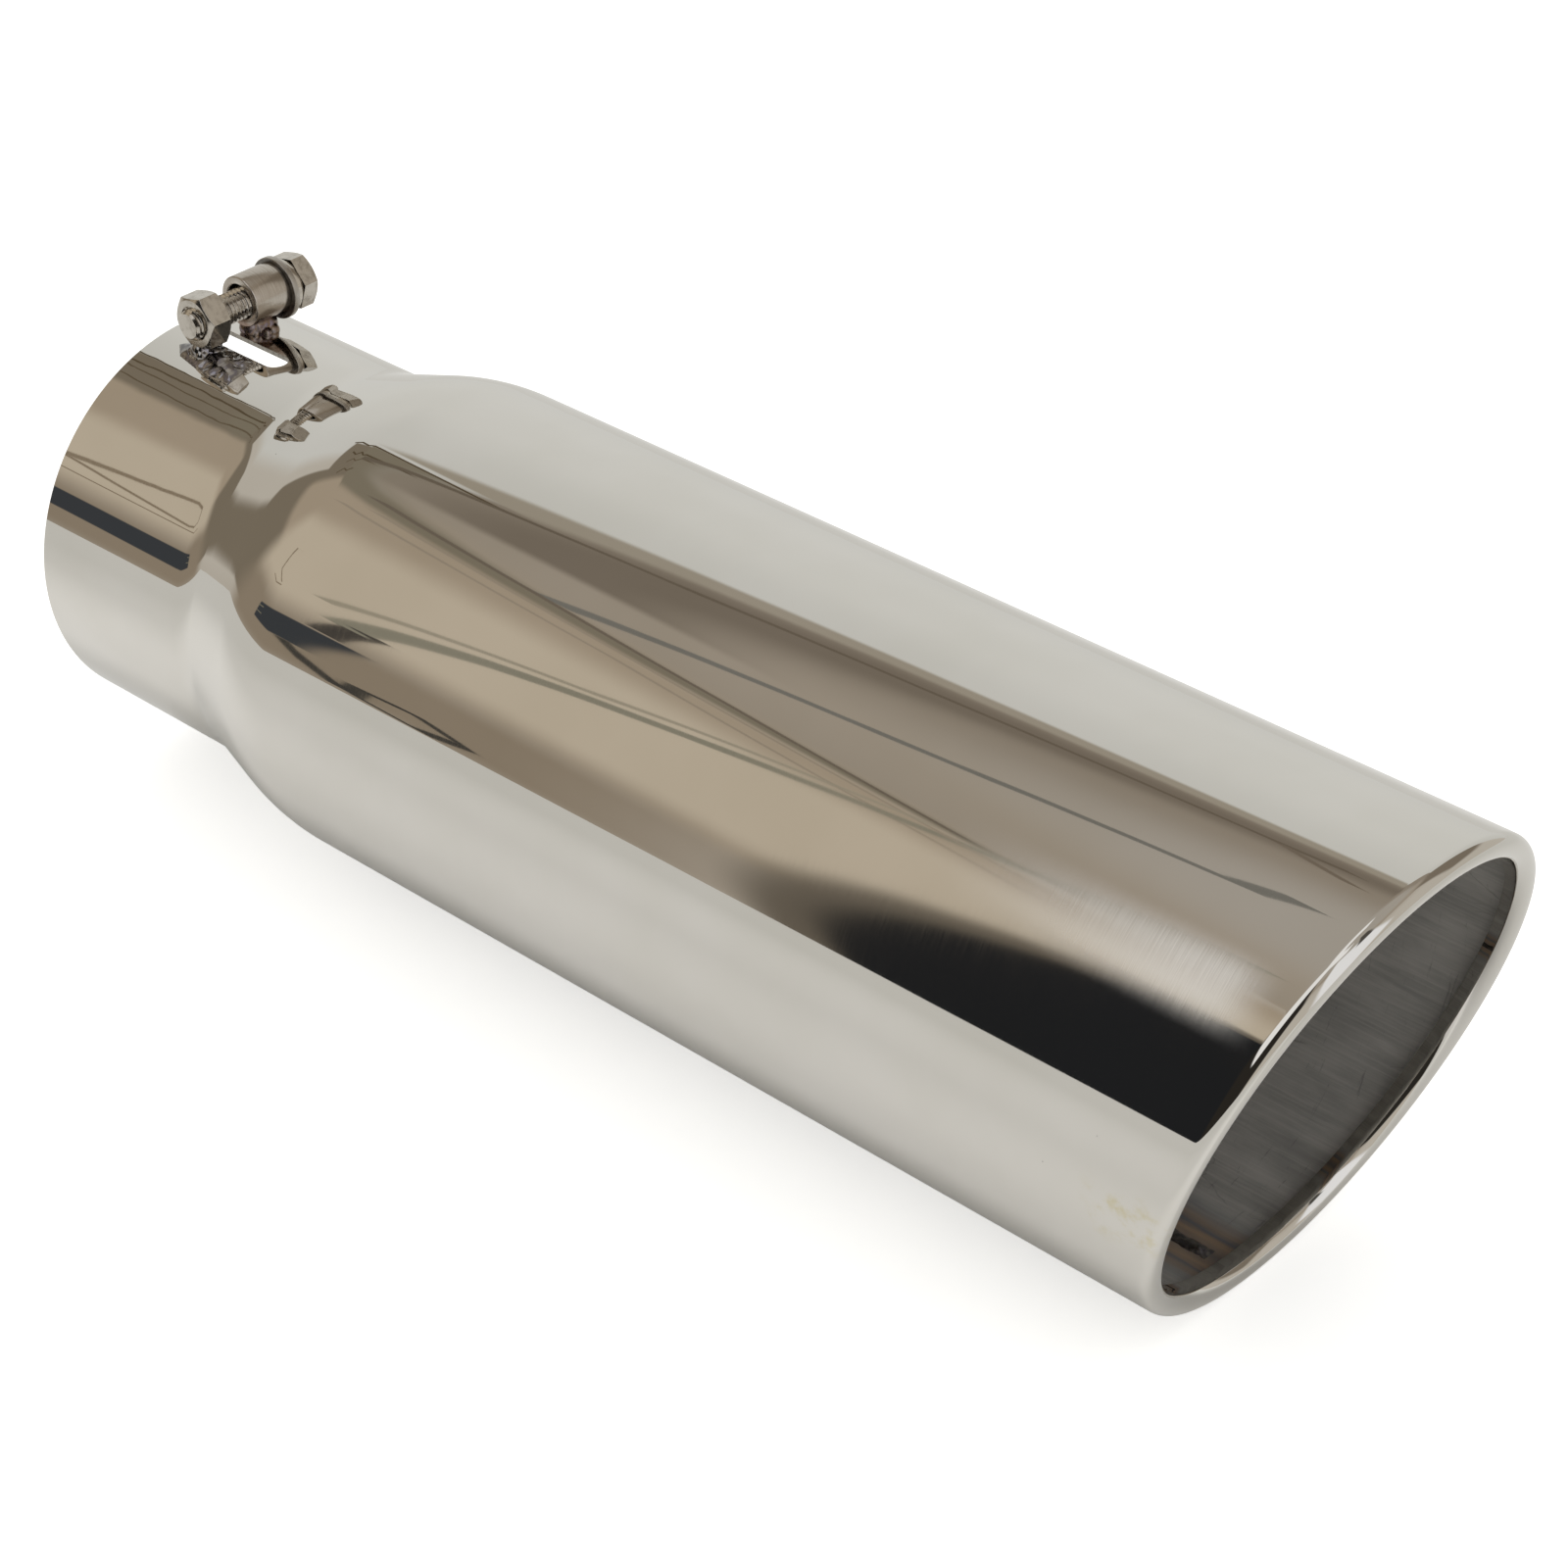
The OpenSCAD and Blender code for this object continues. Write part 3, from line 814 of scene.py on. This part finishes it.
studio = {
    "centre": (200, 0, 0), "far": 60000, "backdrop": "D9D9D5",
    # Each part of the room: colour, softness of its edge in degrees, and corners as azimuth and elevation
    "room": [
        ("C9C3B9", 8, [(-95, -12), (180, -12), (180, 49), (-95, 49)]),
        ("E2E2DE", 22, [(-165, -2), (-110, -2), (-112, 36), (-165, 40)]),
        ("9B9184", 0.7, [(-180, 48.4), (180, 48.4), (180, 91), (-180, 91)]),
        ("B0A698", 40, [(-96, 48), (180, 48), (180, 91), (-96, 91)]),
        ("B3ADA4", 9, [(-180, 60), (180, 60), (180, 91), (-180, 91)]),
        ("80766A", 4, [(-142, 49.4), (-88, 49), (-84, 54), (-120, 55), (-142, 53)]),
        ("A8A092", 1.2, [(-143, 46.8), (-106, 46.2), (-106, 49), (-143, 49)]),
        ("83796A", 0.9, [(-103, 38), (-86, 37), (-60, 37), (-60, 48.2), (-103, 48.2)]),
        ("83796A", 1.5, [(-88, 18), (-74, -2), (-52, -2), (-52, 38), (-88, 38)]),
        ("B0A28F", 5, [(-82, 33), (-30, 8), (-30, 48), (-82, 48)]),
        ("CBBFAC", 9, [(-63, 10), (-30, 10), (-30, 44), (-63, 40)]),
        ("867E6E", 1.4, [(-104, 45.4), (-80, 46.2), (-49, 46.8), (-49, 48.5), (-104, 48.5)]),
        ("978A79", 11, [(-72, -8), (-33, -8), (-33, 12), (-62, 14)]),
        ("6E665B", 1.4, [(-33.4, -7), (-29, -9), (-30, 37), (-35, 37)]),
        ("232426", 0.8, [(-31.9, -9), (-26, -12), (-8, -12), (-8, 31), (-27, 37), (-33.6, 35.5)]),
        ("2E2B27", 6, [(-10, -13), (46, -13), (48, 40), (24, 62), (-26, 56), (-30, 33)]),
        ("FBFCFF", 6, [(52, 66), (68, 30), (88, -6), (104, -6), (112, 18), (98, 60)]),
        ("55524E", 5, [(84, 52), (100, 50), (100, 74), (84, 76)]),
        ("857B6E", 8, [(142, 14), (186, 14), (186, 52), (142, 52)]),
        ("FFFFFF", 3, [(-130, 71), (60, 71), (60, 82), (-130, 82)]),
        ("FFFFFF", 2.5, [(-27, 36), (10, 24), (16, 73), (-40, 73)]),
        ("3F4246", 0.5, [(-52.5, 1), (-41.2, 1.6), (-41, 9.8), (-51, 6.8)]),
    ],
    # Beams under the ceiling, the backdrop's frame and a stand: colour, width in degrees and the line
    "beams": [
        ("85806F", 0.3, [(-52, 5.2), (-48.5, 6.2)]),
        ("85806F", 0.3, [(-52, 3.2), (-48.5, 3.8)]),
        ("6F6558", 0.6, [(-136, 51.9), (-133, 52.2), (-120, 51.8), (-110, 50.8), (-101, 48.6), (-94, 47.4)]),
        ("7A6F62", 0.5, [(-133, 52.2), (-131, 55.5)]),
        ("7C7A74", 0.8, [(-105, 63.2), (-96, 63), (-90, 60.8), (-84, 58.5), (-80, 56.3), (-75, 52.8),
                         (-69, 48.5)]),
        ("746A5E", 0.5, [(-78, 47.6), (-69, 48.3), (-60, 48.4), (-50, 48.0)]),
        ("A09484", 0.4, [(-72, 46.2), (-60, 46.6), (-41, 46)]),
        ("A09484", 0.4, [(-70, 44.6), (-58, 44.8), (-42, 43)]),
        ("8F8B7C", 0.7, [(-50.5, 55.5), (-48.5, 48), (-46, 37), (-43.8, 23), (-42.6, 15)]),
        ("A39B8A", 0.35, [(-50, 47), (-46.6, 34), (-44.6, 20)]),
        ("4A4642", 0.6, [(-42.6, 17), (-41.8, 10)]),
        ("45433F", 0.5, [(-41.8, 1.5), (-40.6, -4.5)]),
        ("45433F", 0.45, [(-40.4, -4.4), (-39.2, -4.8), (-38.4, -2.4), (-39.2, -0.4), (-40.2, -1.6),
                          (-40.4, -4.4)]),
        ("5C503E", 0.55, [(-103.6, 49), (-104.2, 46.4), (-103.2, 44), (-104, 40), (-103, 37)]),
        ("5C503E", 0.6, [(-98.5, 48.5), (-97, 46.6), (-98.6, 45), (-96.6, 43.4), (-98, 41)]),
        ("665A48", 0.45, [(-95, 48), (-92.6, 46), (-94, 44.4), (-91.6, 42.6)]),
        ("665A48", 0.5, [(-88, 47.6), (-86, 45.8), (-87.6, 44.2), (-85, 42)]),
        ("8D7F6C", 0.5, [(-51.4, 30), (-50.2, 21), (-47.6, 19.4), (-46, 18.4)]),
        ("8D7F6C", 0.4, [(-52, 17.4), (-48.6, 16.4), (-45.4, 17.6)]),
    ],
}


def emptyTree(made):
    made.use_nodes = True
    made.node_tree.nodes.clear()
    return made.node_tree


def glow(name, colour):
    made = bpy.data.materials.new(name)
    tree = emptyTree(made)
    light = node(tree, "Emission", {"Color": linear(colour), "Strength": 1.0})
    node(tree, "OutputMaterial", {"Surface": light})
    return made, tree, light


def heading(azimuth, elevation):
    # A direction; azimuth 0 is -Y and 90 is +X
    a, e = radians(azimuth), radians(elevation)
    return Vector((sin(a) * cos(e), -cos(a) * cos(e), sin(e)))


def staged(name, bm, material):
    # A stage piece from a bmesh in metres
    mesh = bpy.data.meshes.new(name)
    bm.to_mesh(mesh)
    bm.free()
    mesh.materials.append(material)
    piece = bpy.data.objects.new(name, mesh)
    bpy.context.scene.collection.objects.link(piece)
    return piece


def onlyReflected(piece):
    # Centres a piece on the studio, where glossy rays alone see it
    piece.location = Vector(studio["centre"]) * mm
    for kind in ("camera", "diffuse", "shadow", "transmission", "volume_scatter"):
        setattr(piece, "visible_" + kind, False)


def insideOf(tree, azimuth, elevation, corners, soft):
    # 1 inside a convex outline of directions whose corners run anticlockwise, 0 outside, with a soft edge
    steps = []
    for (a1, e1), (a2, e2) in zip(corners, corners[1:] + corners[:1]):
        run = hypot(a2 - a1, e2 - e1)
        across = node(tree, "Math", [azimuth, (e1 - e2) / run], operation="MULTIPLY")
        depth = node(tree, "Math", [elevation, (a2 - a1) / run, across], operation="MULTIPLY_ADD")
        edge = (a1 * (e1 - e2) + e1 * (a2 - a1)) / run
        steps.append((depth, edge - soft / 2, edge + soft / 2))
    return fades(tree, *steps)


def makeDome():
    # The room as a sphere of light round the studio's centre
    bm = bmesh.new()
    bmesh.ops.create_uvsphere(bm, u_segments=48, v_segments=32, radius=studio["far"] * mm)
    material, tree, light = glow("room", studio["backdrop"])
    unit = node(tree, "VectorMath", [node(tree, "TexCoord").outputs["Object"]], operation="NORMALIZE")
    x, y, z = node(tree, "SeparateXYZ", [unit]).outputs
    ahead = node(tree, "Math", [y, -1.0], operation="MULTIPLY")
    turn = node(tree, "Math", [x, ahead], operation="ARCTAN2")
    rise = node(tree, "Math", [z], operation="ARCSINE")
    azimuth = node(tree, "Math", [turn, 180 / pi], operation="MULTIPLY")
    elevation = node(tree, "Math", [rise, 180 / pi], operation="MULTIPLY")
    parts = [(insideOf(tree, azimuth, elevation, corners, soft), colour)
             for colour, soft, corners in studio["room"]]
    tree.links.new(layered(tree, studio["backdrop"], *parts), light.inputs["Color"])
    onlyReflected(staged("room", bm, material))


def makeBeam(name, colour, width, points):
    # A thin line drawn through the given directions
    centre = []
    for (a1, e1), (a2, e2) in zip(points, points[1:]):
        centre += [heading(a, e) for a, e in zip(spread(a1, a2, 6), spread(e1, e2, 6))]
    centre.append(heading(*points[-1]))
    last = len(centre) - 1

    def placeOf(column, row):
        spot = centre[column]
        ahead = (centre[min(column + 1, last)] - centre[max(column - 1, 0)]).normalized()
        side = ahead.cross(spot).normalized() * radians(width) / 2
        return (spot + side * (1 - 2 * row)) * studio["far"] * 0.95 * mm

    onlyReflected(staged(name, sheet(last, 1, placeOf), glow(name, colour)[0]))


table = {
    "centre": (200, 0, 0), "z": -76.2, "radius": 1150, "near": "E6E5E1", "far": "D6D5D0", "fade": (250, 600),
    # The glow beside the tube, its strength and its span, is painted light that only reflections see
    "lift": 0.55, "paintedGlow": 0.14, "paintedGlowSpan": (-210, -100, -78, -48),
}


def makeTable():
    # White table top: lit and shaded for reflections, and lifted to the pale background for the camera
    bm = bmesh.new()
    place = Matrix.Translation(Vector((table["centre"][0], 0, table["z"])) * mm)
    bmesh.ops.create_circle(bm, cap_ends=True, segments=96, radius=table["radius"] * mm, matrix=place)
    made = bpy.data.materials.new("white table")
    tree = emptyTree(made)
    path = node(tree, "LightPath").outputs
    where = millimetres(tree)
    away = node(tree, "VectorMath", [where, table["centre"]], operation="DISTANCE").outputs["Value"]
    # Paler round the tube and greyer further out: a painted falloff of light over the table
    colour = layered(tree, table["near"], (fades(tree, (away, *table["fade"])), table["far"]))
    paint = node(tree, "BsdfDiffuse", {"Color": colour})
    # A glow painted on the table beside the tube, on its -Y side, and seen only in reflections: painted light
    # that stands for the light its polished side throws back
    rise, full, fall, gone = table["paintedGlowSpan"]
    y = node(tree, "SeparateXYZ", [where]).outputs[1]
    beside = fades(tree, (y, gone, fall), (y, rise, full))
    seen = node(tree, "Math", [beside, path["Is Glossy Ray"]], operation="MULTIPLY")
    lift = node(tree, "Math", [path["Is Camera Ray"], table["lift"]], operation="MULTIPLY")
    strength = node(tree, "Math", [seen, table["paintedGlow"], lift], operation="MULTIPLY_ADD")
    light = node(tree, "Emission", {"Color": linear("FFFFFF"), "Strength": strength})
    node(tree, "OutputMaterial", {"Surface": node(tree, "AddShader", [paint, light])})
    staged("table", bm, made)


def makeWorld():
    # Even white light from all round
    world = bpy.data.worlds.new("studio")
    bpy.context.scene.world = world
    tree = emptyTree(world)
    plain = node(tree, "Background", {"Color": linear("FFFFFF"), "Strength": 1.0})
    node(tree, "OutputWorld", {"Surface": plain})


makeDome()
for index, (colour, width, points) in enumerate(studio["beams"]):
    makeBeam("beam" + str(index), colour, width, points)
makeTable()
makeWorld()
bpy.context.scene.view_settings.view_transform = "Standard"
print("studio done")
